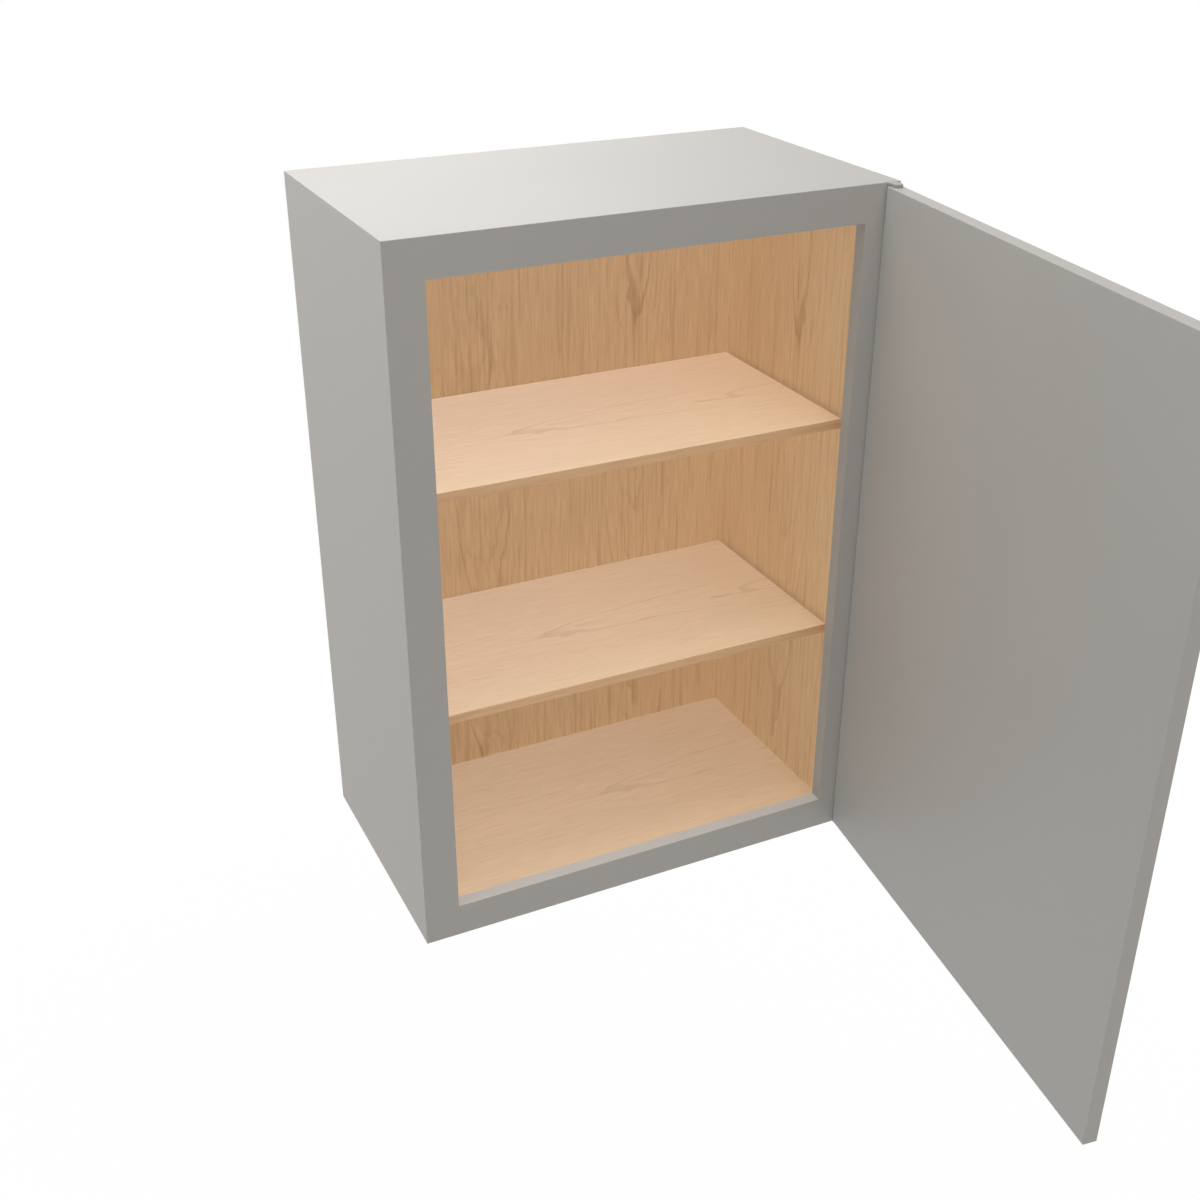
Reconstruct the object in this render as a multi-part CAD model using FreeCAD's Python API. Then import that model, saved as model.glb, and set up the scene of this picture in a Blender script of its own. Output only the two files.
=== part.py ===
import FreeCAD, Part
import math
import os

# A face-frame wall cabinet with one door and two shelves, in millimetres.
# +Z is up, +X is to the right as one faces the door, and +Y points into the wall.
# The origin lies on the wall plane, midway between the two wall screws.

V = FreeCAD.Vector
SAME_PLACE = 1e-6

# Case
CABINET_WIDTH = 533.4
CABINET_HEIGHT = 762.0
CABINET_DEPTH = 304.8  # from the wall to the front of the face frame
PANEL_T = 15.0
EDGE_EASE = 0.5  # rounding of the outer arrises that the hand meets

# Face frame
FRAME_T = 15.0
STILE_W = 38.1
RAIL_H = 38.1

# Back
BACK_T = 5.0
BACK_GROOVE_DEPTH = 6.0
BACK_GROOVE_PLAY = 0.1  # on each face of the back panel
BACK_EDGE_GAP = 0.5  # between the back panel's edges and the grooves' floors
HANGING_RAIL_T = 10.0
HANGING_RAIL_H = 80.0
WALL_SCREW_SPACING = 406.4
WALL_HOLE_R = 2.5

# Shelves
SHELF_T = 10.0
SHELF_SETBACK = 24.8  # from the back of the face frame to the shelf's front edge
SHELF_BAND_T = 1.0
SHELF_END_GAP = 5.0
SHELF_BACK_GAP = 1.0
LOWER_SHELF_TOP = 252.0  # above the cabinet's underside
UPPER_SHELF_TOP = 503.0

# Shelf supports: a plug in the side, a collar against it and a flat spoon under the shelf
SUPPORT_PLUG_R = 2.5
SUPPORT_HOLE_SKIN = 5.0  # board left beyond the hole
SUPPORT_HOLE_SPARE = 1.0  # depth of the hole beyond the plug
SUPPORT_COLLAR_R = 3.5
SUPPORT_COLLAR_T = 1.5
SUPPORT_SPOON_W = 8.0
SUPPORT_SPOON_T = 2.0
SUPPORT_SPOON_REACH = 10.0  # how far it goes under the shelf
SUPPORT_INSET = 37.0  # from the shelf's front and back edges

# Dowels
SLIM_DOWEL_R = 3.0
CASE_DOWEL_R = 4.0
DOWEL_SKIN = 4.5  # wood left beyond a hole that enters a board's face
DOWEL_TAIL = 18.0  # depth held in the edge or end of a board
DOWEL_HOLE_SPARE = 0.5  # depth of each hole beyond the dowel's end
FRAME_DOWEL_OFFSET = 9.0  # each side of a rail's middle
FRAME_SIDE_DOWELS = 3  # between a stile and its side panel
CASE_DOWEL_INSET = 50.0  # from the front and back ends of a case joint
HANGING_DOWEL_OFFSET = 22.0  # each side of a hanging rail's middle

# Door
DOOR_T = 15.0
DOOR_REVEAL = 3.2  # face frame left showing round the closed door
DOOR_HINGE_ROUND = 3.0  # the back arris at the hinge, which turns past the frame
DOOR_SWING_GAP = 0.43  # least gap between that arris and the frame as the door turns
DOOR_OPEN_ANGLE = 82.3  # how far the door stands open at rest

# Pivot hinges at the door's top and bottom edges
PIVOT_FROM_EDGE = 8.0  # from the door's hinge edge
PIVOT_FROM_BACK = 8.0  # from the door's back face
PIN_R = 2.5
PIN_REACH = 14.0  # into the door
PIN_PLAY = 0.05
BUSH_WALL = 1.45
BUSH_FLANGE_R = 5.5
BUSH_FLANGE_T = 1.0
BUSH_SPARE = 1.0  # bush length past the pin's end
HINGE_END_PLAY = 0.2  # between the bush's flange and the bracket
BRACKET_W = 10.0
BRACKET_LEG_T = 3.0
BRACKET_LEG_H = 38.0
SCREW_R = 1.5
SCREW_HEAD_R = 3.0
SCREW_TIP_SKIN = 2.8  # stile left beyond the screw's tip
SCREW_SINK = 0.2  # head below the bracket's face
SCREW_SLOT_W = 0.8
SCREW_SLOT_DEPTH = 0.6
SCREW_SPACING = 20.0

# Planes of the case
RIGHT = CABINET_WIDTH / 2
LEFT = -RIGHT
WALL = 0.0
FRONT = WALL - CABINET_DEPTH
FRAME_BACK = FRONT + FRAME_T
HANGING_Z = 0.0  # height of the wall screws
TOP = HANGING_Z + HANGING_RAIL_H / 2 + PANEL_T
BOTTOM = TOP - CABINET_HEIGHT
INNER_RIGHT = RIGHT - PANEL_T
INNER_LEFT = -INNER_RIGHT
CEILING = TOP - PANEL_T
FLOOR = BOTTOM + PANEL_T
RAIL_BACK_Y = WALL - HANGING_RAIL_T
BACK_FACE_Y = RAIL_BACK_Y - BACK_T

# Planes of the shelves
SHELF_BACK_Y = BACK_FACE_Y - SHELF_BACK_GAP
SHELF_FRONT_Y = FRAME_BACK + SHELF_SETBACK
SHELF_RIGHT = INNER_RIGHT - SHELF_END_GAP
SHELF_TOPS = {"lower": BOTTOM + LOWER_SHELF_TOP, "upper": BOTTOM + UPPER_SHELF_TOP}

# The door's axis stands clear of the frame by the reach of the door's rounded back arris
ARRIS_CENTRE = math.hypot(PIVOT_FROM_EDGE - DOOR_HINGE_ROUND, PIVOT_FROM_BACK - DOOR_HINGE_ROUND)
PIVOT_Y = FRONT - DOOR_SWING_GAP - ARRIS_CENTRE - DOOR_HINGE_ROUND

# Planes of the closed door, and its hinges
DOOR_RIGHT = RIGHT - DOOR_REVEAL
DOOR_LEFT = -DOOR_RIGHT
DOOR_TOP = TOP - DOOR_REVEAL
DOOR_BOTTOM = BOTTOM + DOOR_REVEAL
DOOR_BACK = PIVOT_Y + PIVOT_FROM_BACK
DOOR_FRONT = DOOR_BACK - DOOR_T
PIVOT_X = DOOR_RIGHT - PIVOT_FROM_EDGE
BUSH_R = PIN_R + PIN_PLAY + BUSH_WALL
BUSH_L = PIN_REACH + BUSH_SPARE
TONGUE_T = DOOR_REVEAL - BUSH_FLANGE_T - HINGE_END_PLAY
SCREW_L = FRAME_T - SCREW_SINK - SCREW_TIP_SKIN

# Depths held in the boards' faces
SUPPORT_PLUG_L = PANEL_T - SUPPORT_HOLE_SKIN - SUPPORT_HOLE_SPARE
SIDE_GRIP = PANEL_T - DOWEL_SKIN - DOWEL_HOLE_SPARE
FRAME_GRIP = FRAME_T - DOWEL_SKIN - DOWEL_HOLE_SPARE


def box(x_span, y_span, z_span):
    """A block between two planes along each axis."""
    size = [high - low for low, high in (x_span, y_span, z_span)]
    return Part.makeBox(*size, V(x_span[0], y_span[0], z_span[0]))


def rod(radius, start, end):
    """A round bar between two points."""
    start, end = V(*start), V(*end)
    return Part.makeCylinder(radius, (end - start).Length, start, end - start)


def ease(shape, radius, planes):
    """Rounds each edge that lies in two of the given planes, named as (axis, value)."""
    def lies_in(edge, axis, value):
        return all(abs(getattr(v.Point, axis) - value) < SAME_PLACE for v in edge.Vertexes)

    chosen = [e for e in shape.Edges if sum(lies_in(e, *plane) for plane in planes) == 2]
    return shape.makeFillet(radius, chosen)


def mirrored(shape):
    """The same piece for the other side of the cabinet."""
    return shape.mirror(V(0, 0, 0), V(1, 0, 0))


def dowel(radius, middle, direction, grip, tail):
    """A dowel across a joint: grip of it lies behind the joint's plane and tail in front."""
    middle, direction = V(*middle), V(*direction)
    return rod(radius, middle - direction * grip, middle + direction * tail)


def dowel_holes(radius, middle, direction, grip, tail):
    """The pair of holes that a dowel sits in, as one bar."""
    spare = DOWEL_HOLE_SPARE
    return dowel(radius, middle, direction, grip + spare, tail + spare)


def group(shapes):
    """Equal pieces that share one name."""
    return Part.makeCompound(shapes)


# Where the dowels go: radius, point in the joint's plane, direction of the tail, grip and tail
def frame_dowel_places():
    """Two dowels in each corner of the face frame."""
    y = FRONT + FRAME_T / 2
    places = []
    for z_rail in (TOP - RAIL_H / 2, BOTTOM + RAIL_H / 2):
        for z in (z_rail - FRAME_DOWEL_OFFSET, z_rail + FRAME_DOWEL_OFFSET):
            for side in (-1, 1):
                point = (side * (RIGHT - STILE_W), y, z)
                places.append((SLIM_DOWEL_R, point, (-side, 0, 0), DOWEL_TAIL, DOWEL_TAIL))
    return places


def frame_to_case_dowel_places():
    """Dowels from the back of the face frame into the front edges of the case."""
    x_side = RIGHT - PANEL_T / 2
    step = CABINET_HEIGHT / (FRAME_SIDE_DOWELS + 1)
    side_heights = [BOTTOM + step * (i + 1) for i in range(FRAME_SIDE_DOWELS)]
    points = [(x, z) for x in (-x_side, x_side) for z in side_heights]
    points += [(x, z) for x in (LEFT / 2, RIGHT / 2) for z in (TOP - PANEL_T / 2, BOTTOM + PANEL_T / 2)]
    return [(SLIM_DOWEL_R, (x, FRAME_BACK, z), (0, 1, 0), FRAME_GRIP, DOWEL_TAIL) for x, z in points]


def case_dowel_places():
    """Three dowels in each joint between a side and the top or bottom panel."""
    first, last = FRAME_BACK + CASE_DOWEL_INSET, BACK_FACE_Y - CASE_DOWEL_INSET
    places = []
    for z in (TOP - PANEL_T / 2, BOTTOM + PANEL_T / 2):
        for y in (first, (first + last) / 2, last):
            for side in (-1, 1):
                point = (side * INNER_RIGHT, y, z)
                places.append((CASE_DOWEL_R, point, (-side, 0, 0), SIDE_GRIP, DOWEL_TAIL))
    return places


def hanging_rail_dowel_places():
    """Two dowels in each end of the hanging rails."""
    y = WALL - HANGING_RAIL_T / 2
    places = []
    for z_rail in (CEILING - HANGING_RAIL_H / 2, FLOOR + HANGING_RAIL_H / 2):
        for z in (z_rail - HANGING_DOWEL_OFFSET, z_rail + HANGING_DOWEL_OFFSET):
            for side in (-1, 1):
                point = (side * INNER_RIGHT, y, z)
                places.append((SLIM_DOWEL_R, point, (-side, 0, 0), SIDE_GRIP, DOWEL_TAIL))
    return places


DOWELS = {
    "frame_dowels": frame_dowel_places(),
    "frame_to_case_dowels": frame_to_case_dowel_places(),
    "case_dowels": case_dowel_places(),
    "hanging_rail_dowels": hanging_rail_dowel_places(),
}


def drilled(shape, *dowel_groups):
    """The piece with the holes of the dowels that enter it."""
    holes = [dowel_holes(*place) for name in dowel_groups for place in DOWELS[name]]
    entering = [hole for hole in holes if hole.BoundBox.intersect(shape.BoundBox)]
    return shape.cut(entering)


# Case
def back_groove():
    """The groove for the back panel, as a block that reaches into the panels round it."""
    x = INNER_RIGHT + BACK_GROOVE_DEPTH
    y_span = (BACK_FACE_Y - BACK_GROOVE_PLAY, RAIL_BACK_Y + BACK_GROOVE_PLAY)
    return box((-x, x), y_span, (FLOOR - BACK_GROOVE_DEPTH, CEILING + BACK_GROOVE_DEPTH))


def support_places():
    """Axis heights and distances from the wall of the shelf supports."""
    places = {}
    for name, top in SHELF_TOPS.items():
        z = top - SHELF_T - SUPPORT_PLUG_R
        places[name] = [(y, z) for y in (SHELF_FRONT_Y + SUPPORT_INSET, SHELF_BACK_Y - SUPPORT_INSET)]
    return places


def right_side_panel():
    panel = box((INNER_RIGHT, RIGHT), (FRAME_BACK, WALL), (BOTTOM, TOP))
    panel = ease(panel, EDGE_EASE, [("x", RIGHT), ("z", TOP), ("z", BOTTOM)])
    panel = panel.cut(back_groove())
    depth = SUPPORT_PLUG_L + SUPPORT_HOLE_SPARE
    holes = [rod(SUPPORT_PLUG_R, (INNER_RIGHT, y, z), (INNER_RIGHT + depth, y, z))
             for places in support_places().values() for y, z in places]
    panel = panel.cut(holes)
    return drilled(panel, "frame_to_case_dowels", "case_dowels", "hanging_rail_dowels")


def level_panel(z_span):
    """The top or bottom of the case, between the sides."""
    panel = box((INNER_LEFT, INNER_RIGHT), (FRAME_BACK, WALL), z_span)
    return drilled(panel.cut(back_groove()), "frame_to_case_dowels", "case_dowels")


def wall_screw_holes():
    """The two holes for the wall screws, through the back panel and its hanging rail."""
    return [rod(WALL_HOLE_R, (x, BACK_FACE_Y, HANGING_Z), (x, WALL, HANGING_Z))
            for x in (-WALL_SCREW_SPACING / 2, WALL_SCREW_SPACING / 2)]


def back_panel():
    reach = BACK_GROOVE_DEPTH - BACK_EDGE_GAP
    x = INNER_RIGHT + reach
    panel = box((-x, x), (BACK_FACE_Y, RAIL_BACK_Y), (FLOOR - reach, CEILING + reach))
    return panel.cut(wall_screw_holes())


def hanging_rail(z_span):
    rail = box((INNER_LEFT, INNER_RIGHT), (RAIL_BACK_Y, WALL), z_span)
    return drilled(rail, "hanging_rail_dowels")


# Face frame
def left_stile():
    stile = box((LEFT, LEFT + STILE_W), (FRONT, FRAME_BACK), (BOTTOM, TOP))
    stile = ease(stile, EDGE_EASE, [("x", LEFT), ("y", FRONT), ("z", TOP), ("z", BOTTOM)])
    return drilled(stile, "frame_dowels", "frame_to_case_dowels")


def right_stile():
    """The left stile's mirror image, with the hinge brackets let in flush."""
    x_span = (PIVOT_X - BRACKET_W / 2, PIVOT_X + BRACKET_W / 2)
    y_span = (FRONT, FRONT + BRACKET_LEG_T)
    recesses = [box(x_span, y_span, z_span) for z_span in bracket_heights().values()]
    stile = mirrored(left_stile()).cut(recesses)
    return stile.cut([screw_body(z) for z in screw_heights()])


def rail(z_span, outer_z):
    piece = box((LEFT + STILE_W, RIGHT - STILE_W), (FRONT, FRAME_BACK), z_span)
    piece = ease(piece, EDGE_EASE, [("y", FRONT), ("z", outer_z)])
    return drilled(piece, "frame_dowels", "frame_to_case_dowels")


# Shelves
def shelf(top):
    y_span = (SHELF_FRONT_Y + SHELF_BAND_T, SHELF_BACK_Y)
    return box((-SHELF_RIGHT, SHELF_RIGHT), y_span, (top - SHELF_T, top))


def shelf_edge(top):
    y_span = (SHELF_FRONT_Y, SHELF_FRONT_Y + SHELF_BAND_T)
    band = box((-SHELF_RIGHT, SHELF_RIGHT), y_span, (top - SHELF_T, top))
    planes = [("y", SHELF_FRONT_Y), ("z", top), ("z", top - SHELF_T)]
    return ease(band, min(EDGE_EASE, SHELF_BAND_T / 2), planes)


def shelf_support(y, z):
    """One support at the right-hand side; z is its plug's axis."""
    plug = rod(SUPPORT_PLUG_R, (INNER_RIGHT + SUPPORT_PLUG_L, y, z), (INNER_RIGHT, y, z))
    collar = rod(SUPPORT_COLLAR_R, (INNER_RIGHT, y, z), (INNER_RIGHT - SUPPORT_COLLAR_T, y, z))
    tip = SHELF_RIGHT - SUPPORT_SPOON_REACH
    seat = z + SUPPORT_PLUG_R
    half = SUPPORT_SPOON_W / 2
    spoon = box((tip + half, INNER_RIGHT), (y - half, y + half), (seat - SUPPORT_SPOON_T, seat))
    nose = rod(half, (tip + half, y, seat - SUPPORT_SPOON_T), (tip + half, y, seat))
    return plug.fuse([collar, spoon, nose]).removeSplitter()


def shelf_supports(places):
    right = [shelf_support(y, z) for y, z in places]
    return group(right + [mirrored(support) for support in right])


# Door and hinges, built closed
def opened(shape):
    """The piece turned with the door from closed to its place at rest."""
    shape = shape.copy()
    shape.rotate(V(PIVOT_X, PIVOT_Y, 0), V(0, 0, 1), DOOR_OPEN_ANGLE)
    return shape


def door_slab():
    slab = box((DOOR_LEFT, DOOR_RIGHT), (DOOR_FRONT, DOOR_BACK), (DOOR_BOTTOM, DOOR_TOP))
    slab = ease(slab, DOOR_HINGE_ROUND, [("x", DOOR_RIGHT), ("y", DOOR_BACK)])
    faces = [("x", DOOR_LEFT), ("x", DOOR_RIGHT), ("y", DOOR_FRONT), ("y", DOOR_BACK)]
    slab = ease(slab, EDGE_EASE, faces + [("z", DOOR_TOP), ("z", DOOR_BOTTOM)])
    sockets = [rod(BUSH_R, (PIVOT_X, PIVOT_Y, z), (PIVOT_X, PIVOT_Y, z + inward * BUSH_L))
               for z, inward in ((DOOR_TOP, -1), (DOOR_BOTTOM, 1))]
    return opened(slab.cut(sockets))


def hinge_bush(z, inward):
    """A flanged bush in the door's edge at z."""
    def at(distance):
        return (PIVOT_X, PIVOT_Y, z + inward * distance)

    bush = rod(BUSH_R, at(0), at(BUSH_L)).fuse(rod(BUSH_FLANGE_R, at(-BUSH_FLANGE_T), at(0)))
    bush = bush.cut(rod(PIN_R + PIN_PLAY, at(-BUSH_FLANGE_T), at(BUSH_L)))
    return opened(bush.removeSplitter())


def bracket_heights():
    """Lowest and highest point of each hinge bracket."""
    return {"top": (TOP - BRACKET_LEG_H, TOP), "bottom": (BOTTOM, BOTTOM + BRACKET_LEG_H)}


def screw_heights():
    """Two screws in each bracket's leg."""
    return [(low + high) / 2 + side * SCREW_SPACING / 2
            for low, high in bracket_heights().values() for side in (-1, 1)]


def screw_body(z):
    """A countersunk screw without its slot."""
    y_head = FRONT + SCREW_SINK
    y_neck = y_head + SCREW_HEAD_R - SCREW_R
    head = Part.makeCone(SCREW_HEAD_R, SCREW_R, y_neck - y_head, V(PIVOT_X, y_head, z), V(0, 1, 0))
    shank = rod(SCREW_R, (PIVOT_X, y_neck, z), (PIVOT_X, y_head + SCREW_L, z))
    return head.fuse(shank).removeSplitter()


def hinge_screw(z):
    y_head = FRONT + SCREW_SINK
    x_span = (PIVOT_X - SCREW_HEAD_R, PIVOT_X + SCREW_HEAD_R)
    z_span = (z - SCREW_SLOT_W / 2, z + SCREW_SLOT_W / 2)
    return screw_body(z).cut(box(x_span, (y_head, y_head + SCREW_SLOT_DEPTH), z_span))


def tongue_heights():
    """Lowest and highest point of each bracket's tongue, which fills the reveal beyond the door."""
    return {"top": (TOP - TONGUE_T, TOP), "bottom": (BOTTOM, BOTTOM + TONGUE_T)}


def hinge_bracket(end):
    """A leg let into the stile and a round-ended tongue that holds the pin."""
    half = BRACKET_W / 2
    x_span = (PIVOT_X - half, PIVOT_X + half)
    low, high = tongue_heights()[end]
    leg = box(x_span, (FRONT, FRONT + BRACKET_LEG_T), bracket_heights()[end])
    tongue = box(x_span, (PIVOT_Y, FRONT), (low, high))
    nose = rod(half, (PIVOT_X, PIVOT_Y, low), (PIVOT_X, PIVOT_Y, high))
    bracket = leg.fuse([tongue, nose]).removeSplitter()
    y_head = FRONT + SCREW_SINK
    mouths = [rod(SCREW_HEAD_R, (PIVOT_X, FRONT, z), (PIVOT_X, y_head, z)) for z in screw_heights()]
    screws = [screw_body(z) for z in screw_heights()]
    return bracket.cut(mouths + screws + [hinge_pin(end)])


def hinge_pin(end):
    """The pin, from the tongue's outer face into the door."""
    tip = {"top": DOOR_TOP - PIN_REACH, "bottom": DOOR_BOTTOM + PIN_REACH}[end]
    head = {"top": TOP, "bottom": BOTTOM}[end]
    return rod(PIN_R, (PIVOT_X, PIVOT_Y, head), (PIVOT_X, PIVOT_Y, tip))


def dowels(name):
    return group([dowel(*place) for place in DOWELS[name]])


def pieces():
    """Every piece of the cabinet by name."""
    right_side = right_side_panel()
    made = {
        "left_side_panel": mirrored(right_side),
        "right_side_panel": right_side,
        "top_panel": level_panel((CEILING, TOP)),
        "bottom_panel": level_panel((BOTTOM, FLOOR)),
        "back_panel": back_panel(),
        "upper_hanging_rail": hanging_rail((CEILING - HANGING_RAIL_H, CEILING)).cut(wall_screw_holes()),
        "lower_hanging_rail": hanging_rail((FLOOR, FLOOR + HANGING_RAIL_H)),
        "left_stile": left_stile(),
        "right_stile": right_stile(),
        "top_rail": rail((TOP - RAIL_H, TOP), TOP),
        "bottom_rail": rail((BOTTOM, BOTTOM + RAIL_H), BOTTOM),
        "door_slab": door_slab(),
        "top_hinge_bush": hinge_bush(DOOR_TOP, -1),
        "bottom_hinge_bush": hinge_bush(DOOR_BOTTOM, 1),
        "hinge_screws": group([hinge_screw(z) for z in screw_heights()]),
    }
    for name in DOWELS:
        made[name] = dowels(name)
    for level, top in SHELF_TOPS.items():
        made[f"{level}_shelf"] = shelf(top)
        made[f"{level}_shelf_edge"] = shelf_edge(top)
        made[f"{level}_shelf_supports"] = shelf_supports(support_places()[level])
    for end in ("top", "bottom"):
        made[f"{end}_hinge_bracket"] = hinge_bracket(end)
        made[f"{end}_hinge_pin"] = hinge_pin(end)
    return made


os.makedirs("parts", exist_ok=True)
for name, shape in pieces().items():
    shape.exportStep(os.path.join("parts", f"{name}.step"))
    print(f"{name}: {len(shape.Solids)} solids, {shape.Volume / 1000:.1f} cm3, valid {shape.isValid()}")
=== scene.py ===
import math
from collections import namedtuple

import bpy
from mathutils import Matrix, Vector


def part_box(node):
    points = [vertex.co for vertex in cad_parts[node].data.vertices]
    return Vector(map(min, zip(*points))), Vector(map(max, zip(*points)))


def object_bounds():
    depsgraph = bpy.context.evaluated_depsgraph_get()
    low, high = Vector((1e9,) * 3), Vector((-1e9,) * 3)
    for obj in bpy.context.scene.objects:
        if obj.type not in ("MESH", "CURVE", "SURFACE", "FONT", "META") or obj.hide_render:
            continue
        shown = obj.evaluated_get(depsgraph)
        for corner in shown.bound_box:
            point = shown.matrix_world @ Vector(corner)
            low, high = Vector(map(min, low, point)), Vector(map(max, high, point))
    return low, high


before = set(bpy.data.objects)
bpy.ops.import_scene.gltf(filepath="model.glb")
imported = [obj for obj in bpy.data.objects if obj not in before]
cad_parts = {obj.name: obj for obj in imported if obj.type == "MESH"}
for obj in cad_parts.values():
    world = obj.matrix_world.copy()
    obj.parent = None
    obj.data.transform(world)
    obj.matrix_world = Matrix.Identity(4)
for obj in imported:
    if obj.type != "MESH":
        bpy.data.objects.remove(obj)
cad_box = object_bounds()

# A wall cabinet with its door open, painted outside and veneered with maple inside, in a white studio.
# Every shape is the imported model's own: this script gives its faces their finishes and lights them.

# The camera, in the part's own frame, in metres and degrees
CAMERA_PLACE = (-0.6529, -1.5407, 0.3877)
CAMERA_YAW = 25.613  # turned towards +X from looking along +Y
CAMERA_PITCH = 27.790  # looking down
CAMERA_LENS = 45.735  # millimetres, as is the sensor
CAMERA_SENSOR = 36.0

# The studio, in metres
FLOOR_DROP = 1.37  # from the cabinet's underside down to the floor, as it hangs in a kitchen
FLOOR_SIZE = 80.0
FLOOR_GREY = (0.8, 0.8, 0.8, 1.0)
FLOOR_ROUGHNESS = 0.9
FLOOR_WHITE = 0.88  # how far the floor under the cabinet is faded to plain white
FLOOR_FADE = 0.05  # how much further with each metre away from there
BACKDROP_WHITE = (1.0, 1.0, 1.0, 1.0)
WORLD_AMBIENT = 0.25

# Soft lamps: discs that stand round one point of the cabinet and face it. Azimuth 0 is in front and 90 on
# the right, elevation is above the horizon, both in degrees, and distance and size are in metres. The fills
# cast no shadow, because the photo's light reaches evenly into the open cabinet.
LAMP_AIM = (0.0, -0.2, -0.3)
Lamp = namedtuple("Lamp", "azimuth elevation distance size watts shadow")
LAMPS = {
    "front_fill": Lamp(20.0, 8.0, 6.0, 3.6, 92.0, False),
    "left_fill": Lamp(260.0, 12.0, 6.0, 3.6, 125.0, False),
    "back_fill": Lamp(165.0, 32.0, 6.0, 3.4, 107.0, False),
    "front": Lamp(2.0, 52.0, 6.0, 3.6, 98.0, True),
    "left": Lamp(270.0, 14.0, 6.0, 3.6, 32.0, True),
    "back_left": Lamp(205.0, 14.0, 6.0, 3.6, 33.0, True),
    "right": Lamp(100.0, 25.0, 6.0, 3.6, 110.0, True),
    "top": Lamp(0.0, 86.0, 5.0, 2.6, 79.0, True),
    "over": Lamp(262.0, 60.0, 1.7, 1.1, 10.5, True),
}

# Below, colours are linear. Waves are noise waves per metre: across and along the grain, or along X, Y and Z.
# A roughness is a span and a base where noise varies it. A bump is a strength and a depth in metres.

# Paint
GREIGE = (0.3, 0.286, 0.264)
BOUNCE_COOLED_GREIGE = (0.287, 0.286, 0.272)  # painted light: a cooler copy of the paint that cancels the wood's warm bounce light where it falls
LIP_PAINTED_LIGHT = (0.46, 0.453, 0.433)  # the bottom rail's upper face, painted lighter than the rest of the rail: painted light, as if more light fell on it from above
HINGE_GREY = (0.24, 0.229, 0.211)  # the hinges, a darker copy of the frame's paint: painted shade that blends the top hinge's tongue into the shadowed reveal
PAINT_CLOUD = 0.025  # how far the tone wanders to either side
PAINT_CLOUD_WAVES = (5.0, 5.0, 5.0)
PAINT_PEEL_WAVES = (900.0, 900.0, 900.0)
PAINT_ROUGHNESS = (0.08, 0.5)
PAINT_BUMP = (0.1, 0.0002)
HINGE_BUMP = (0.2, 0.0002)

# Veneers: the axes across and along the grain, the lightest and darkest tone, where the leaves start on those
# axes in metres, and the strength of the fibres, of the broad bands and of the arched figure
Veneer = namedtuple("Veneer", "across along light dark shift rise fine broad figure",
                    defaults=(0.0, 0.0, 1.0, 1.0, 1.0))
BACK_VENEER = Veneer("x", "z", (0.83, 0.621, 0.381), (0.5, 0.317, 0.165), shift=0.025, rise=-0.066)
SIDE_VENEER = Veneer("y", "z", (0.737, 0.548, 0.335), (0.445, 0.28, 0.146), shift=-0.263, rise=-0.066)
# The top and bottom panels' veneer is darker and greyer than the shelves': painted shade, as the cabinet's
# floor lies deepest in its shade.
PANEL_VENEER = Veneer("y", "x", (0.732, 0.546, 0.354), (0.566, 0.396, 0.24), shift=-0.25, rise=0.1,
                      fine=1.4, broad=0.6)
SHELF_VENEER = Veneer("y", "x", (0.877, 0.672, 0.45), (0.667, 0.462, 0.276), shift=-0.25,
                      fine=1.1, broad=0.45, figure=1.2)
BAND_VENEER = Veneer("z", "x", (0.65, 0.395, 0.208), (0.41, 0.23, 0.114), figure=0.0)
SHELF_RISE = {"upper": -0.01, "lower": 0.02}  # each shelf is cut from another stretch of veneer
SHELF_PAINTED_LIGHT_AND_SHADE = {"upper": 1.09, "lower": 0.89}  # and is painted this much lighter or darker: painted light on the upper shelf and painted shade on the lower one, which lies deeper in the cabinet

# The arched figure, in metres
LEAF_W = 0.2  # width of one leaf of veneer
LEAF_SLIP = 0.13  # each leaf is cut this much further along the log
LEAF_MIDDLE = [(0.022, 1.0), (0.045, 0.12)]  # how the figure fades with distance from the leaf's middle
RING_STEP = 0.011
RING_LINE = [(0.84, 0.0), (0.94, 1.0), (0.97, 0.7), (1.0, 0.0)]  # dark towards the ring's outer edge
RING_CHANCE = 0.35  # how much weaker a ring can be than the strongest
PITH_DEPTH = 0.04  # how far below the cut the heart of the tree lies
PITH_SLOPE = -0.045  # how fast it falls away along the board, so that the arches point down
SWAY_WAVES = (5.0, 2.5)
SWAY_REACH = 0.05  # how far the arches wander sideways, from one end to the other
KINK_WAVES = (45.0, 16.0)
KINK_REACH = 0.0075  # how far the heart's depth wavers, which kinks the lines
THIN_COUNT = 3.0  # thin lines in each ring
THIN_LINE = [(0.72, 0.0), (0.9, 1.0), (1.0, 0.0)]
THIN_SHARE = 0.4  # against the rings' strength
GAP_WAVES = (30.0, 9.0)
GAP_STEP = [(0.42, 0.45), (0.56, 1.0)]  # the lines weaken in places
MOTTLE_WAVES = (60.0, 22.0)
MOTTLE_STEP = [(0.5, 0.0), (0.68, 1.0)]
MOTTLE_SHARE = 0.45  # patches in every other leaf, against the lines' strength

# The grain of maple: how far each feature darkens the wood, over the share that is always there
GRAIN_BASE = 0.26
ARCH_SHARE = 0.5
FIBRE_WAVES = (500.0, 25.0)
FIBRE_SHARE = 0.85
FLECK_WAVES = (450.0, 80.0)
FLECK_STEP = [(0.68, 0.0), (0.78, 1.0)]
FLECK_SHARE = 0.3
STREAK_WAVES = (210.0, 6.0)
STREAK_STEP = [(0.53, 0.0), (0.66, 1.0)]
STREAK_SHARE = 0.24
BAND_WAVES = (110.0, 5.0)
BAND_SHARE = 0.25
CLOUD_WAVES = (9.0, 2.0)
CLOUD_SHARE = 0.25
MAPLE_ROUGHNESS = (0.16, 0.42)
MAPLE_BUMP = (0.08, 0.0002)

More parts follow.
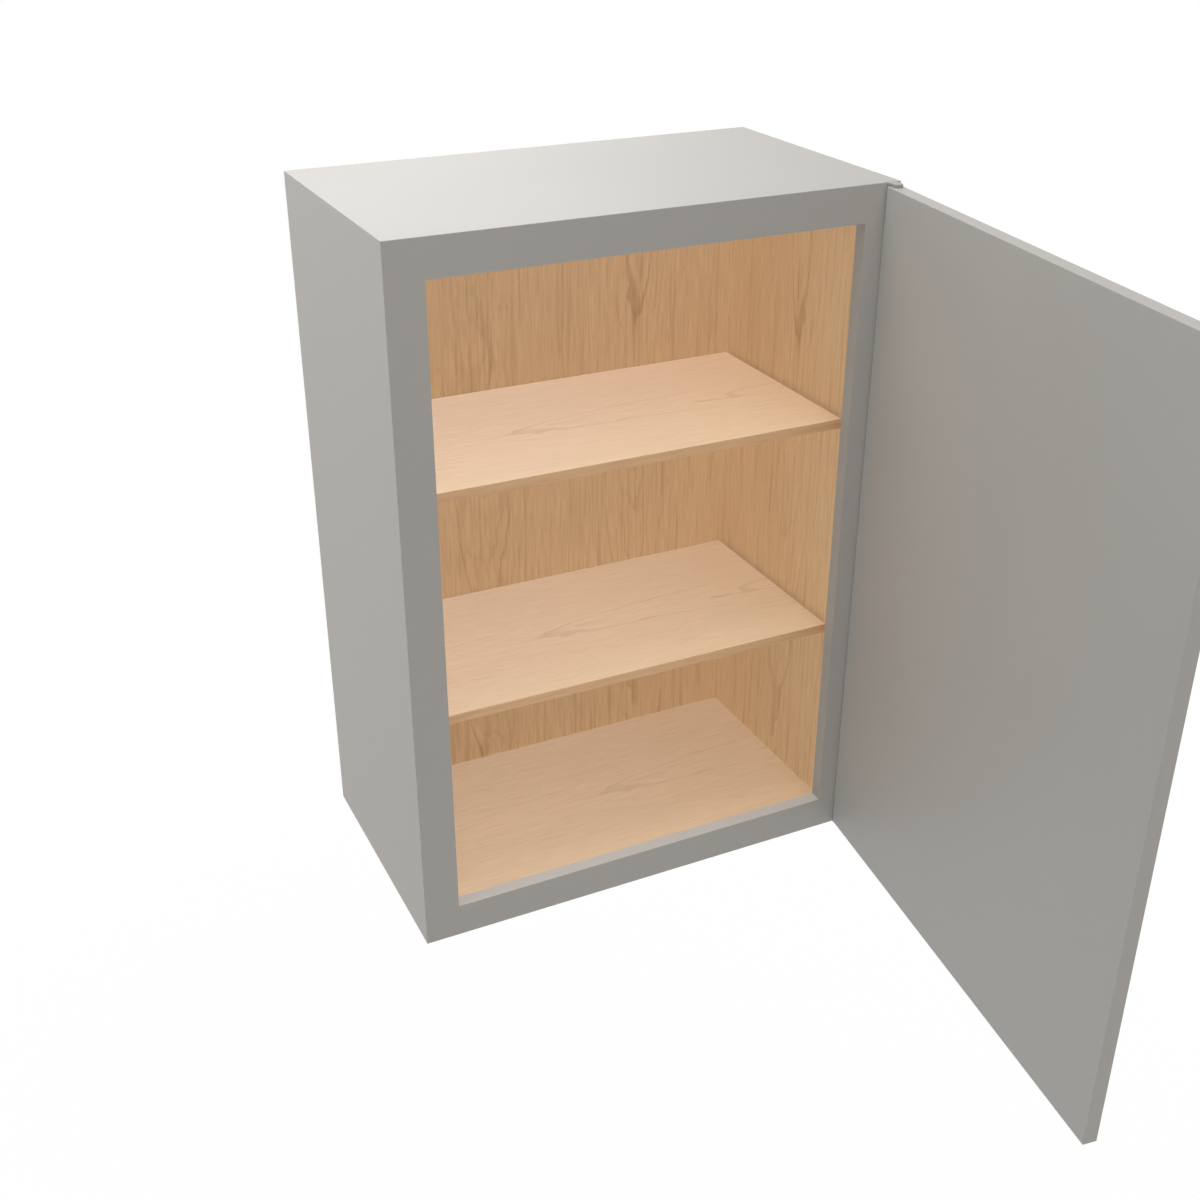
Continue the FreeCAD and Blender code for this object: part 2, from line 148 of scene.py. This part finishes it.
# Bare softwood and beech
BARE_LIGHT = (0.78, 0.6, 0.4)
BARE_DARK = (0.6, 0.42, 0.25)
BARE_RING_STEP = 0.0052
BARE_LINE = [(0.0, 0.1), (0.6, 0.3), (0.93, 1.0), (1.0, 0.1)]
BARE_LINE_SHARE = 0.45
BARE_SWAY_WAVES = (6.0, 2.0)
BARE_SWAY_REACH = 0.02
BARE_FIBRE_WAVES = (700.0, 9.0)
BARE_FIBRE_SHARE = 0.5
BARE_ROUGHNESS = 0.6
BARE_BUMP = (0.15, 0.0003)

# Sawn edges of plywood
PLY_LIGHT = (0.7, 0.54, 0.36)
PLY_DARK = (0.36, 0.24, 0.14)
PLY_T = 0.00136  # one ply of the boards
PLY_CROSS_SHARE = 0.45
PLY_WAVES = (500.0, 500.0, 500.0)
PLY_GRAIN_SHARE = 0.35
PLY_ROUGHNESS = 0.7
PLY_BUMP = (0.2, 0.0003)

# Hardware
NICKEL_DARK = (0.62, 0.6, 0.56)
NICKEL_LIGHT = (0.72, 0.7, 0.66)
NICKEL_WAVES = (3000.0, 3000.0, 300.0)
NICKEL_ROUGHNESS = (0.15, 0.22)
NYLON_DARK = (0.2, 0.19, 0.175)
NYLON_LIGHT = (0.235, 0.223, 0.205)
NYLON_WAVES = (800.0, 800.0, 800.0)
NYLON_ROUGHNESS = 0.5

# Tests of faces
ON_PLANE = 0.0006  # a face this near a plane, in metres, lies in it, eased edges included
FACING = 0.9  # the least share of a face's normal along the way that it looks


class Graph:
    """Builds a material's nodes."""

    def __init__(self, name):
        self.material = bpy.data.materials.new(name)
        self.material.use_nodes = True
        self.nodes = self.material.node_tree.nodes
        self.links = self.material.node_tree.links
        self.shader = self.nodes["Principled BSDF"]

    def put(self, socket, value):
        """Links a socket, or sets a plain number or colour."""
        if isinstance(value, bpy.types.NodeSocket):
            self.links.new(value, socket)
        else:
            socket.default_value = value

    def math(self, operation, *values, clamp=False):
        node = self.nodes.new("ShaderNodeMath")
        node.operation = operation
        node.use_clamp = clamp
        for socket, value in zip(node.inputs, values):
            self.put(socket, value)
        return node.outputs[0]

    def add(self, a, b, clamp=False):
        return self.math("ADD", a, b, clamp=clamp)

    def times(self, a, b):
        return self.math("MULTIPLY", a, b)

    def length(self, a, b):
        """The length of the two sides' diagonal."""
        return self.math("SQRT", self.add(self.math("POWER", a, 2.0), self.math("POWER", b, 2.0)))

    def centred(self, noise):
        """Noise that swings to both sides of nought."""
        return self.math("SUBTRACT", noise, 0.5)

    def place(self):
        """The X, Y and Z of the surface in the part's frame, in metres."""
        coordinates = self.nodes.new("ShaderNodeTexCoord")
        split = self.nodes.new("ShaderNodeSeparateXYZ")
        self.links.new(coordinates.outputs["Object"], split.inputs[0])
        return dict(zip("xyz", split.outputs))

    def noise(self, places, waves, detail=2.0, roughness=0.5):
        """Noise with its own count of waves per metre along each of the places."""
        at = self.nodes.new("ShaderNodeCombineXYZ")
        for socket, place, count in zip(at.inputs, places, waves):
            self.links.new(self.times(place, count), socket)
        node = self.nodes.new("ShaderNodeTexNoise")
        node.inputs["Scale"].default_value = 1.0
        node.inputs["Detail"].default_value = detail
        node.inputs["Roughness"].default_value = roughness
        self.links.new(at.outputs[0], node.inputs["Vector"])
        return node.outputs[0]

    def white_noise(self, value):
        node = self.nodes.new("ShaderNodeTexWhiteNoise")
        node.noise_dimensions = "1D"
        self.links.new(value, node.inputs["W"])
        return node.outputs[0]

    def ramp(self, factor, stops):
        """A grey ramp through (position, level) stops, constant before the first and after the last."""
        node = self.nodes.new("ShaderNodeValToRGB")
        elements = node.color_ramp.elements
        while len(elements) < len(stops):
            elements.new(0.5)
        for element, (position, level) in zip(elements, stops):
            element.position = position
            element.color = (level, level, level, 1.0)
        self.links.new(factor, node.inputs[0])
        return node.outputs[0]

    def mix(self, factor, a, b):
        """A colour between two plain ones."""
        node = self.nodes.new("ShaderNodeMix")
        node.data_type = "RGBA"
        self.links.new(factor, node.inputs["Factor"])
        for name, colour in (("A", a), ("B", b)):
            socket = next(s for s in node.inputs if s.name == name and s.type == "RGBA")
            socket.default_value = (*colour, 1.0)
        return next(s for s in node.outputs if s.type == "RGBA")

    def bump(self, height, strength, depth):
        node = self.nodes.new("ShaderNodeBump")
        node.inputs["Strength"].default_value = strength
        node.inputs["Distance"].default_value = depth
        self.links.new(height, node.inputs["Height"])
        self.links.new(node.outputs[0], self.shader.inputs["Normal"])

    def finish(self, colour, roughness, metallic=0.0):
        self.put(self.shader.inputs["Base Color"], colour)
        self.put(self.shader.inputs["Roughness"], roughness)
        self.shader.inputs["Metallic"].default_value = metallic
        return self.material


def lighter(colour, share):
    return tuple(min(1.0, c * share) for c in colour)


# Materials
def greige_paint(name, paint=GREIGE, bump=PAINT_BUMP):
    """Satin sprayed paint: an even tone with the faintest cloud, and a fine peel in the gloss."""
    g = Graph(name)
    places = g.place().values()
    cloud = g.noise(places, PAINT_CLOUD_WAVES)
    colour = g.mix(cloud, lighter(paint, 1.0 - PAINT_CLOUD), lighter(paint, 1.0 + PAINT_CLOUD))
    g.bump(g.noise(places, PAINT_PEEL_WAVES, detail=3.0), *bump)
    return g.finish(colour, g.math("MULTIPLY_ADD", cloud, *PAINT_ROUGHNESS))


def ring_lines(g, rings):
    """A dark line in each ring, stronger or weaker by chance, and thin lines between."""
    chance = g.white_noise(g.math("FLOOR", rings))
    strength = g.add(g.times(chance, RING_CHANCE), 1.0 - RING_CHANCE)
    line = g.times(g.ramp(g.math("FRACT", rings), RING_LINE), strength)
    thin = g.ramp(g.math("FRACT", g.times(rings, THIN_COUNT)), THIN_LINE)
    return g.math("MAXIMUM", line, g.times(thin, THIN_SHARE))


def arches(g, u, v):
    """The arched lines of a plain-sawn leaf.

    The cut runs through rings about a heart that lies askew below it.
    """
    leaf = g.math("FLOOR", g.math("DIVIDE", u, LEAF_W))
    climb = g.add(v, g.times(leaf, LEAF_SLIP))
    sway = g.centred(g.noise((u, climb), SWAY_WAVES))
    kink = g.centred(g.noise((u, climb), KINK_WAVES))

    aside = g.math("SUBTRACT", g.math("SUBTRACT", u, g.times(leaf, LEAF_W)), LEAF_W / 2)
    aside = g.add(aside, g.times(sway, SWAY_REACH))
    depth = g.add(g.times(climb, PITH_SLOPE), PITH_DEPTH)
    depth = g.add(depth, g.times(kink, KINK_REACH))
    line = ring_lines(g, g.math("DIVIDE", g.length(aside, depth), RING_STEP))

    gaps = g.noise((aside, climb), GAP_WAVES, detail=1.0)
    line = g.times(line, g.ramp(gaps, GAP_STEP))
    patch = g.ramp(g.noise((aside, climb), MOTTLE_WAVES), MOTTLE_STEP)
    every_other = g.math("PINGPONG", leaf, 1.0)
    mottle = g.times(g.times(patch, every_other), MOTTLE_SHARE)
    middle = g.ramp(g.math("ABSOLUTE", aside), LEAF_MIDDLE)
    return g.times(g.add(line, mottle), middle)


def maple(name, veneer):
    """Lacquered plain-sawn maple: arched figure in each leaf, fibres and short flecks along the grain."""
    g = Graph(name)
    place = g.place()
    u = g.add(place[veneer.across], -veneer.shift)
    v = g.add(place[veneer.along], -veneer.rise)
    fibre = g.noise((u, v), FIBRE_WAVES, detail=3.0, roughness=0.6)
    band = g.noise((u, v), BAND_WAVES, detail=3.0)
    cloud = g.noise((u, v), CLOUD_WAVES)
    fleck = g.ramp(g.noise((u, v), FLECK_WAVES, detail=1.0), FLECK_STEP)
    streak = g.ramp(g.noise((u, v), STREAK_WAVES), STREAK_STEP)

    features = (
        (fleck, FLECK_SHARE * veneer.fine),
        (streak, STREAK_SHARE * veneer.broad),
        (g.centred(fibre), FIBRE_SHARE * veneer.fine),
        (g.centred(band), BAND_SHARE * veneer.broad),
        (g.centred(cloud), CLOUD_SHARE * veneer.broad),
    )
    tone = g.times(arches(g, u, v), ARCH_SHARE * veneer.figure)
    for feature, share in features:
        tone = g.add(tone, g.times(feature, share))
    tone = g.add(tone, GRAIN_BASE, clamp=True)
    g.bump(g.add(fibre, fleck), *MAPLE_BUMP)
    return g.finish(g.mix(tone, veneer.light, veneer.dark), g.math("MULTIPLY_ADD", fibre, *MAPLE_ROUGHNESS))


def bare_wood(name, across, along):
    """Planed wood with straight growth lines."""
    g = Graph(name)
    place = g.place()
    u = place[across]
    v = place[along]
    sway = g.noise((u, v), BARE_SWAY_WAVES)
    rings = g.math("DIVIDE", g.add(u, g.times(sway, BARE_SWAY_REACH)), BARE_RING_STEP)
    line = g.ramp(g.math("FRACT", rings), BARE_LINE)
    fibre = g.noise((u, v), BARE_FIBRE_WAVES, detail=3.0)
    tone = g.add(g.times(line, BARE_LINE_SHARE), g.times(fibre, BARE_FIBRE_SHARE), clamp=True)
    g.bump(fibre, *BARE_BUMP)
    return g.finish(g.mix(tone, BARE_LIGHT, BARE_DARK), BARE_ROUGHNESS)


def plywood_edge(name, through):
    """The sawn edge of a board: plies in turn along and across."""
    g = Graph(name)
    place = g.place()
    ply = g.math("FLOOR", g.math("DIVIDE", place[through], PLY_T))
    cross = g.math("PINGPONG", ply, 1.0)
    grain = g.noise(place.values(), PLY_WAVES, detail=3.0)
    tone = g.add(g.times(cross, PLY_CROSS_SHARE), g.times(grain, PLY_GRAIN_SHARE), clamp=True)
    g.bump(g.add(grain, cross), *PLY_BUMP)
    return g.finish(g.mix(tone, PLY_LIGHT, PLY_DARK), PLY_ROUGHNESS)


def nickel():
    """Steel with a finely brushed nickel finish."""
    g = Graph("nickel_steel")
    brushed = g.noise(g.place().values(), NICKEL_WAVES)
    roughness = g.math("MULTIPLY_ADD", brushed, *NICKEL_ROUGHNESS)
    return g.finish(g.mix(brushed, NICKEL_DARK, NICKEL_LIGHT), roughness, metallic=1.0)


def nylon():
    """Grey moulded nylon, faintly mottled."""
    g = Graph("nylon")
    mottled = g.noise(g.place().values(), NYLON_WAVES)
    return g.finish(g.mix(mottled, NYLON_DARK, NYLON_LIGHT), NYLON_ROUGHNESS)


# Tests of faces, which take a face's centre and normal
def facing(axis, sign, at):
    """A test for faces that look along one axis and lie in the plane at that value."""
    i = "xyz".index(axis)

    def test(centre, normal):
        return normal[i] * sign > FACING and abs(centre[i] - at) < ON_PLANE
    return test


def near(axis, at):
    """A test for faces in the plane at that value or on its eased edge."""
    i = "xyz".index(axis)

    def test(centre, normal):
        return abs(centre[i] - at) < ON_PLANE
    return test


def looks_left(centre, normal):
    """A test for faces that look to the left, as the open door's back does."""
    return normal.x < -FACING


def looks_up_or_down(centre, normal):
    """A test for level faces, as a hinge pin's ends are."""
    return abs(normal.z) > FACING


# Dressing the pieces
def dress(node, default, *rules):
    """Gives each face of a node the material of the first rule that it passes."""
    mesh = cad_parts[node].data
    mesh.materials.clear()
    mesh.materials.append(default)
    for material, _ in rules:
        mesh.materials.append(material)
    for face in mesh.polygons:
        passed = (slot for slot, (_, test) in enumerate(rules, 1) if test(face.center, face.normal))
        face.material_index = next(passed, 0)


def dress_sides(paint):
    edge = plywood_edge("ply_edge_upright", "x")
    for side, outward in (("left", -1), ("right", 1)):
        node = f"{side}_side_panel"
        low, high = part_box(node)
        outer = high.x if outward > 0 else low.x
        inner = low.x if outward > 0 else high.x
        veneer = maple(f"{node}_maple", SIDE_VENEER)
        dress(node, edge, (veneer, facing("x", -outward, inner)), (paint, near("x", outer)),
              (paint, facing("z", 1, high.z)), (paint, facing("z", -1, low.z)))


def dress_top_and_bottom(paint):
    edge = plywood_edge("ply_edge_level", "z")
    for level, outward in (("top", 1), ("bottom", -1)):
        node = f"{level}_panel"
        low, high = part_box(node)
        outer = high.z if outward > 0 else low.z
        inner = low.z if outward > 0 else high.z
        veneer = maple(f"{node}_maple", PANEL_VENEER)
        dress(node, edge, (veneer, facing("z", -outward, inner)), (paint, near("z", outer)))


def dress_back():
    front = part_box("back_panel")[0].y
    veneer = maple("back_panel_maple", BACK_VENEER)
    dress("back_panel", bare_wood("back_panel_rear", "x", "z"), (veneer, facing("y", -1, front)))
    rail_wood = bare_wood("hanging_rail_wood", "z", "x")
    for node in ("upper_hanging_rail", "lower_hanging_rail"):
        dress(node, rail_wood)


def dress_frame_and_door():
    paint = greige_paint("frame_paint")
    # The faces that look left, the door's back and the right stile's inner edge, get a cooler copy of the
    # paint: painted light that cancels the wood's warm bounce light.
    bounce_cooled_paint = greige_paint("bounce_cooled_paint", BOUNCE_COOLED_GREIGE)
    # The rail's upper face gets a lighter copy of the paint: painted light standing in for the light that
    # falls on it from above.
    lip_painted_light = greige_paint("lip_painted_light", LIP_PAINTED_LIGHT)
    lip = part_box("bottom_rail")[1].z
    dress("left_stile", paint)
    dress("top_rail", paint)
    dress("right_stile", paint, (bounce_cooled_paint, looks_left))
    dress("bottom_rail", paint, (lip_painted_light, facing("z", 1, lip)))
    dress("door_slab", greige_paint("door_paint"), (bounce_cooled_paint, looks_left))


def dress_shelves():
    core = plywood_edge("ply_edge_shelf", "z")
    for level in ("upper", "lower"):
        node = f"{level}_shelf"
        low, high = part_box(node)
        # Each shelf's veneer is made lighter or darker: painted light on the upper shelf and painted shade on
        # the lower.
        cut = SHELF_VENEER._replace(rise=SHELF_RISE[level],
                                    light=lighter(SHELF_VENEER.light, SHELF_PAINTED_LIGHT_AND_SHADE[level]),
                                    dark=lighter(SHELF_VENEER.dark, SHELF_PAINTED_LIGHT_AND_SHADE[level]))
        veneer = maple(f"{node}_maple", cut)
        dress(node, core, (veneer, facing("z", 1, high.z)), (veneer, facing("z", -1, low.z)))
        dress(f"{node}_edge", maple(f"{node}_edge_maple", BAND_VENEER))


def dress_hardware():
    steel = nickel()
    plastic = nylon()
    # The hinges' paint is a darker copy of the cabinet's paint: painted shade that blends the top hinge into
    # the shadow of the reveal.
    paint = greige_paint("hinge_paint", HINGE_GREY, HINGE_BUMP)
    beech = bare_wood("dowel_beech", "z", "x")
    for level in ("upper", "lower"):
        dress(f"{level}_shelf_supports", steel)
    for end in ("top", "bottom"):
        dress(f"{end}_hinge_bracket", paint)
        dress(f"{end}_hinge_pin", steel, (paint, looks_up_or_down))
        dress(f"{end}_hinge_bush", plastic)
    dress("hinge_screws", paint)
    for node in ("frame_dowels", "frame_to_case_dowels", "case_dowels", "hanging_rail_dowels"):
        dress(node, beech)


# Studio
def add_camera():
    data = bpy.data.cameras.new("camera")
    data.lens = CAMERA_LENS
    data.sensor_width = CAMERA_SENSOR
    camera = bpy.data.objects.new("camera", data)
    camera.location = CAMERA_PLACE
    camera.rotation_euler = (math.radians(90.0 - CAMERA_PITCH), 0.0, math.radians(-CAMERA_YAW))
    bpy.context.scene.collection.objects.link(camera)
    bpy.context.scene.camera = camera


def seen_by_eye(tree):
    """1 for rays that show the background: from the camera, a mirror or glass."""
    path = tree.nodes.new("ShaderNodeLightPath")
    total = path.outputs["Is Camera Ray"]
    for name in ("Is Glossy Ray", "Is Transmission Ray"):
        either = tree.nodes.new("ShaderNodeMath")
        either.operation = "MAXIMUM"
        tree.links.new(total, either.inputs[0])
        tree.links.new(path.outputs[name], either.inputs[1])
        total = either.outputs[0]
    return total


def show_mix(tree, factor, a, b, output):
    """Shows a mix of two shaders at the tree's output."""
    mix = tree.nodes.new("ShaderNodeMixShader")
    tree.links.new(factor, mix.inputs["Fac"])
    tree.links.new(a.outputs[0], mix.inputs[1])
    tree.links.new(b.outputs[0], mix.inputs[2])
    tree.links.new(mix.outputs[0], tree.nodes[output].inputs["Surface"])


def add_world():
    """A plain white backdrop, which lights the cabinet more weakly than it looks."""
    world = bpy.data.worlds.new("studio")
    world.use_nodes = True
    bpy.context.scene.world = world
    tree = world.node_tree
    ambient = tree.nodes["Background"]
    ambient.inputs["Color"].default_value = BACKDROP_WHITE
    ambient.inputs["Strength"].default_value = WORLD_AMBIENT
    white = tree.nodes.new("ShaderNodeBackground")
    white.inputs["Color"].default_value = BACKDROP_WHITE
    white.inputs["Strength"].default_value = 1.0
    show_mix(tree, seen_by_eye(tree), ambient, white, "World Output")


def pale_floor():
    """A pale finish that fades to the backdrop's white away from the cabinet, as seen by eye."""
    g = Graph("floor_pale")
    g.finish(FLOOR_GREY, FLOOR_ROUGHNESS)
    white = g.nodes.new("ShaderNodeEmission")
    white.inputs["Strength"].default_value = 1.0
    place = g.place()
    away = g.length(place["x"], place["y"])
    fade = g.add(g.times(away, FLOOR_FADE), FLOOR_WHITE, clamp=True)
    tree = g.material.node_tree
    show_mix(tree, g.times(seen_by_eye(tree), fade), g.shader, white, "Material Output")
    return g.material


def add_floor():
    """A floor well below the cabinet."""
    height = cad_box[0][2] - FLOOR_DROP
    half = FLOOR_SIZE / 2
    mesh = bpy.data.meshes.new("floor")
    corners = [(-half, -half, height), (half, -half, height), (half, half, height), (-half, half, height)]
    mesh.from_pydata(corners, [], [(0, 1, 2, 3)])
    mesh.materials.append(pale_floor())
    floor = bpy.data.objects.new("floor", mesh)
    bpy.context.scene.collection.objects.link(floor)


def add_lamp(name, lamp):
    data = bpy.data.lights.new(name, "AREA")
    data.shape = "DISK"
    data.size = lamp.size
    data.energy = lamp.watts
    data.use_shadow = lamp.shadow
    data.cycles.use_multiple_importance_sampling = lamp.shadow
    azimuth = math.radians(lamp.azimuth)
    elevation = math.radians(lamp.elevation)
    level = math.cos(elevation)
    away = Vector((math.sin(azimuth) * level, -math.cos(azimuth) * level, math.sin(elevation)))
    light = bpy.data.objects.new(name, data)
    light.location = Vector(LAMP_AIM) + away * lamp.distance
    light.rotation_euler = (-away).to_track_quat("-Z", "Y").to_euler()
    bpy.context.scene.collection.objects.link(light)


case_paint = greige_paint("case_paint")
dress_sides(case_paint)
dress_top_and_bottom(case_paint)
dress_back()
dress_frame_and_door()
dress_shelves()
dress_hardware()
add_camera()
add_world()
add_floor()
for lamp_name, lamp in LAMPS.items():
    add_lamp(lamp_name, lamp)
bpy.context.scene.view_settings.view_transform = "Standard"
